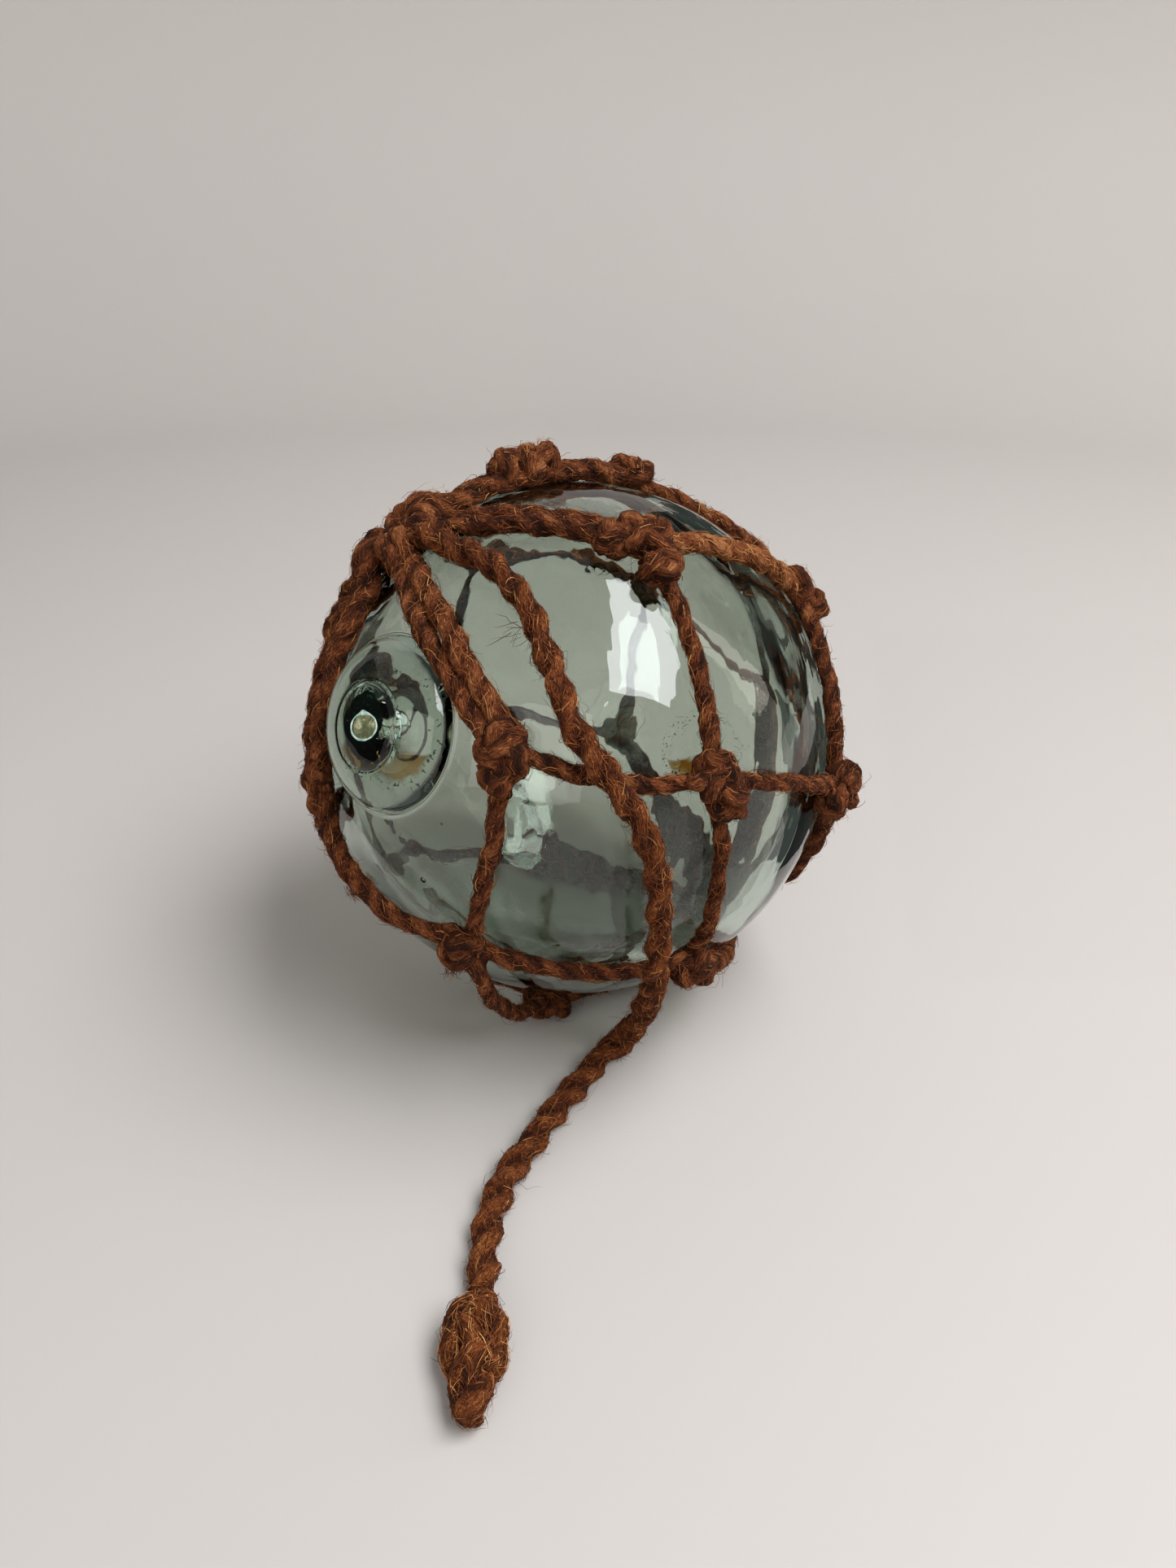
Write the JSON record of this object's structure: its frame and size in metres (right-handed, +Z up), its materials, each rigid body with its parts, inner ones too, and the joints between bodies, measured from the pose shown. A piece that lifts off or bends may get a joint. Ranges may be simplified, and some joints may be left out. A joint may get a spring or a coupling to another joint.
{
  "type": "glass fishing float",
  "caption": "Blown glass ball float with a fused seal, held in a knotted fibre rope net, with a lead rope that runs down its front to a stopper knot.",
  "frame": {"origin": "on the surface that the float rests on, straight under the centre of the glass ball", "axes": "+Z up; the lead rope leaves along -Y over the surface; +X is to the right of someone who faces the lead rope's end knot, looking along +Y"},
  "size_m": [0.1639, 0.2508, 0.1638],
  "materials": {
    "glass": "clear pale green blown glass with seed bubbles and faint striations",
    "net_cord": "coarse reddish-brown palm fibre cord, matt and hairy",
    "lead_rope": "coarse brown palm fibre rope of two plies, matt and hairy"
  },
  "bodies": {
    "root": {"glass_ball": "glass", "net_crown_gather": "net_cord", "net_foot_gather": "net_cord", "net_upper_knot_1": "net_cord", "net_upper_knot_2": "net_cord", "net_upper_knot_3": "net_cord", "net_upper_knot_4": "net_cord", "net_upper_knot_5": "net_cord", "net_upper_knot_6": "net_cord", "net_middle_knot_1": "net_cord", "net_middle_knot_2": "net_cord", "net_middle_knot_3": "net_cord", "net_middle_knot_4": "net_cord", "net_middle_knot_5": "net_cord", "net_middle_knot_6": "net_cord", "net_lower_knot_1": "net_cord", "net_lower_knot_2": "net_cord", "net_lower_knot_3": "net_cord", "net_lower_knot_4": "net_cord", "net_lower_knot_5": "net_cord", "net_lower_knot_6": "net_cord", "net_upper_doubled_cord_1": "net_cord", "net_upper_doubled_cord_2": "net_cord", "net_upper_doubled_cord_3": "net_cord", "net_upper_doubled_cord_4": "net_cord", "net_upper_doubled_cord_5": "net_cord", "net_upper_doubled_cord_6": "net_cord", "net_lower_doubled_cord_1": "net_cord", "net_lower_doubled_cord_2": "net_cord", "net_lower_doubled_cord_3": "net_cord", "net_lower_doubled_cord_4": "net_cord", "net_lower_doubled_cord_5": "net_cord", "net_lower_doubled_cord_6": "net_cord", "net_upper_cord_1a": "net_cord", "net_upper_cord_1b": "net_cord", "net_upper_cord_2a": "net_cord", "net_upper_cord_2b": "net_cord", "net_upper_cord_3a": "net_cord", "net_upper_cord_3b": "net_cord", "net_upper_cord_4a": "net_cord", "net_upper_cord_4b": "net_cord", "net_upper_cord_5a": "net_cord", "net_upper_cord_5b": "net_cord", "net_upper_cord_6a": "net_cord", "net_upper_cord_6b": "net_cord", "net_lower_cord_1a": "net_cord", "net_lower_cord_1b": "net_cord", "net_lower_cord_2a": "net_cord", "net_lower_cord_2b": "net_cord", "net_lower_cord_3a": "net_cord", "net_lower_cord_3b": "net_cord", "net_lower_cord_4a": "net_cord", "net_lower_cord_4b": "net_cord", "net_lower_cord_5a": "net_cord", "net_lower_cord_5b": "net_cord", "net_lower_cord_6a": "net_cord", "net_lower_cord_6b": "net_cord", "lead_rope": "lead_rope", "lead_rope_end_knot": "lead_rope"}
  },
  "joints": []
}
